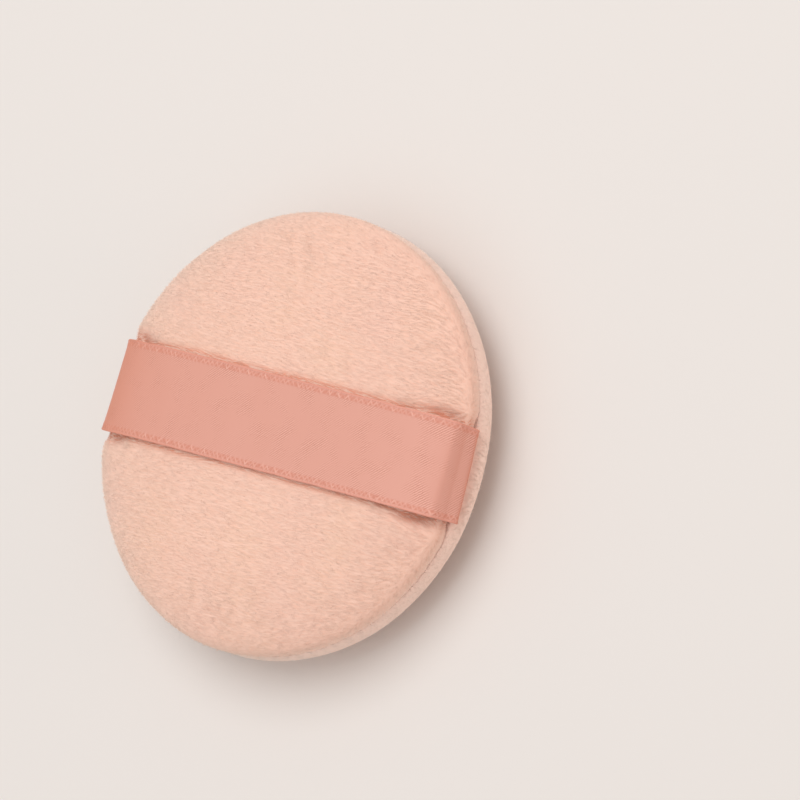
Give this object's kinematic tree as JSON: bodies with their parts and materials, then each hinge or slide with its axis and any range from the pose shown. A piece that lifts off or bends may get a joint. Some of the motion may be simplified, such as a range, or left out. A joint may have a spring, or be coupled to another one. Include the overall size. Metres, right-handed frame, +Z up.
{
  "type": "powder puff",
  "caption": "Round velour powder puff with a foam core, a drawn-in seam round its rim and a satin ribbon strap that lifts off the hand side so that fingers slip under it.",
  "frame": {"origin": "under the puff's centre, on the flat where the powder side rests", "axes": "+Z up through the crown of the hand side, +X along the ribbon strap, +Y across it"},
  "size_m": [0.0742, 0.075, 0.0189],
  "materials": {
    "velour": "matte",
    "satin": "satin",
    "foam": "matte",
    "thread": "satin"
  },
  "bodies": {
    "pad": {"powder_panel": "velour", "hand_panel": "velour", "foam_core": "foam", "seam_needle_thread": "thread", "seam_bobbin_thread": "thread", "closing_stitch": "thread", "strap_end_right": "satin", "strap_end_left": "satin"},
    "strap": {"strap_span": "satin"}
  },
  "joints": [
    {"name": "strap_lift", "type": "slide", "parent": "pad", "child": "strap", "axis": [0, 0, 1], "range_m": [0, 0.012], "deforming": ["strap_end_right", "strap_end_left"]}
  ]
}
